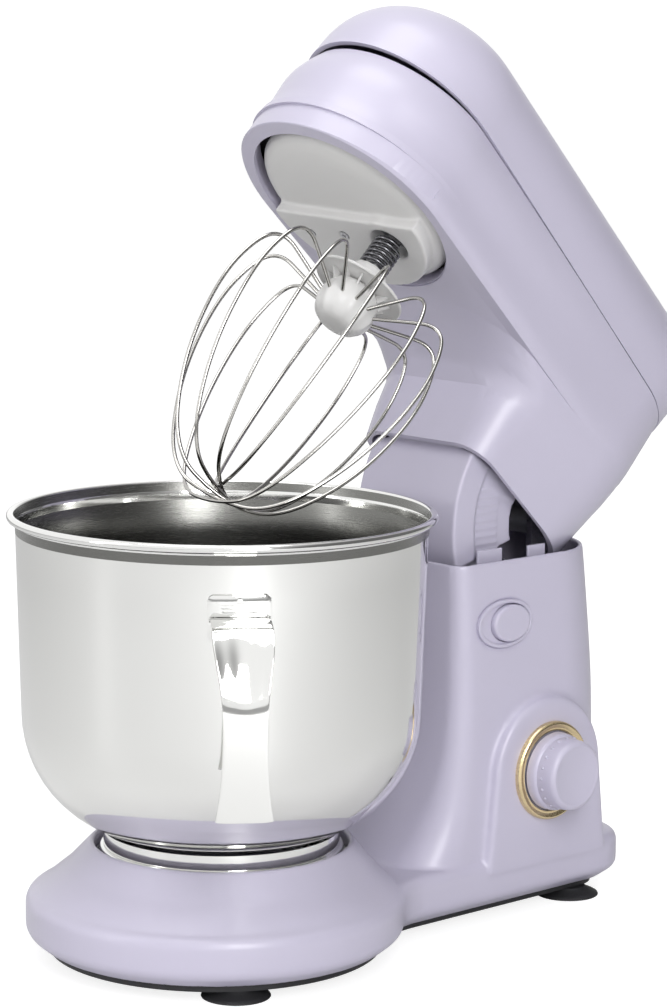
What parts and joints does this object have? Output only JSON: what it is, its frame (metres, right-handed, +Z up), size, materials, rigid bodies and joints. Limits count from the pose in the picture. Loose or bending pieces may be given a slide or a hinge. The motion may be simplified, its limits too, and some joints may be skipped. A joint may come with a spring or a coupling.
{
  "type": "stand mixer",
  "caption": "Tilt-head stand mixer with a planetary drive, balloon whisk, steel bowl with a side handle, speed knob and release button, shown with the head raised.",
  "frame": {"origin": "middle of the overall footprint, on the table, with the head raised", "axes": "+Z up, -Y towards the nose and the bowl, +X towards the side with the speed knob"},
  "size_m": [0.232, 0.4228, 0.4862],
  "materials": {
    "lavender_plastic": "satin moulded lavender plastic",
    "black_plastic": "matt black moulded plastic",
    "foot_rubber": "soft black rubber",
    "drive_rubber": "toothed rubber belt",
    "gold_trim": "satin champagne gold",
    "polished_steel": "mirror polished stainless steel",
    "wire_steel": "drawn stainless wire",
    "grey_plastic": "smooth pale grey plastic",
    "steel": "machined steel",
    "casting": "die-cast aluminium",
    "gear_nylon": "natural nylon",
    "circuit_board": "green laminate with parts"
  },
  "bodies": {
    "stand": {"stand_housing": "lavender_plastic", "base_plate": "black_plastic", "suction_feet": "foot_rubber", "base_screws": "steel", "bowl_lock_plate": "steel", "lock_plate_screws": "steel", "hinge_bracket": "steel", "hinge_pin": "steel", "column_tabs": "lavender_plastic", "control_board": "circuit_board", "board_parts": "circuit_board", "speed_switch": "black_plastic", "knob_ring": "gold_trim", "inlet_gland": "black_plastic", "button_bezel": "lavender_plastic"},
    "button": {"release_button": "lavender_plastic", "latch_rod": "steel", "button_spring": "steel"},
    "knob": {"speed_knob": "lavender_plastic", "knob_shaft": "steel"},
    "bowl": {"bowl": "polished_steel", "bowl_foot_ring": "polished_steel", "bowl_handle": "polished_steel", "handle_plate": "polished_steel"},
    "head": {"head_lower_shell": "lavender_plastic", "head_top_cover": "lavender_plastic", "neck_cover": "lavender_plastic", "opening_trim": "black_plastic", "head_frame": "casting", "gearbox_cover": "casting", "bearings": "steel", "ring_gear": "gear_nylon", "motor_stator": "steel", "motor_clamps": "black_plastic", "brush_holders": "black_plastic", "drive_belt": "drive_rubber"},
    "planetary": {"main_shaft": "steel", "main_gear": "gear_nylon", "carrier": "casting", "planetary_cover": "grey_plastic", "cover_screws": "steel"},
    "beater": {"beater_shaft": "steel", "planet_pinion": "steel", "beater_spring": "steel", "beater_collar": "grey_plastic"},
    "whisk": {"whisk_hub": "grey_plastic", "whisk_wires": "wire_steel"},
    "rotor": {"rotor_core": "steel", "commutator": "black_plastic", "cooling_fan": "black_plastic", "motor_pulley": "casting"},
    "jackshaft": {"jack_shaft": "steel", "belt_pulley": "casting", "jack_pinion": "steel"}
  },
  "joints": [
    {"name": "head_tilt", "type": "hinge", "parent": "stand", "child": "head", "pos_m": [-0.00596, 0.10066, 0.2103], "axis": [1, 0, 0], "range_deg": [0, 44.5]},
    {"name": "planetary_spin", "type": "hinge", "parent": "head", "child": "planetary", "pos_m": [-0.00596, -0.00865, 0.3874], "axis": [0, 0.7009, 0.7133], "continuous": true},
    {"name": "beater_spin", "type": "hinge", "parent": "planetary", "child": "beater", "pos_m": [0.0164, -0.03448, 0.33708], "axis": [0, 0.7009, 0.7133], "continuous": true},
    {"name": "jackshaft_spin", "type": "hinge", "parent": "head", "child": "jackshaft", "pos_m": [-0.00596, 0.03805, 0.38357], "axis": [0, 0.7009, 0.7133], "continuous": true},
    {"name": "motor_spin", "type": "hinge", "parent": "head", "child": "rotor", "pos_m": [-0.00596, 0.10689, 0.27386], "axis": [0, 0.7009, 0.7133], "continuous": true},
    {"name": "whisk_pull", "type": "slide", "parent": "beater", "child": "whisk", "axis": [0, 0.7009, 0.7133], "range_m": [-0.03, 0]},
    {"name": "bowl_lift", "type": "slide", "parent": "stand", "child": "bowl", "axis": [0, 0, -1], "range_m": [-0.06, 0]},
    {"name": "speed_turn", "type": "hinge", "parent": "stand", "child": "knob", "pos_m": [0.05504, 0.07956, 0.079], "axis": [1, 0, 0], "range_deg": [-30, 240]},
    {"name": "button_press", "type": "slide", "parent": "stand", "child": "button", "axis": [-1, 0, 0], "range_m": [0, 0.003], "stiffness_N_per_m": 800, "springref_m": -0.001, "deforming": ["button_spring"]}
  ],
  "couplings": [
    {"joint": "beater_spin", "follows": "planetary_spin", "ratio": -3.8},
    {"joint": "jackshaft_spin", "follows": "planetary_spin", "ratio": -5},
    {"joint": "motor_spin", "follows": "planetary_spin", "ratio": -20}
  ]
}
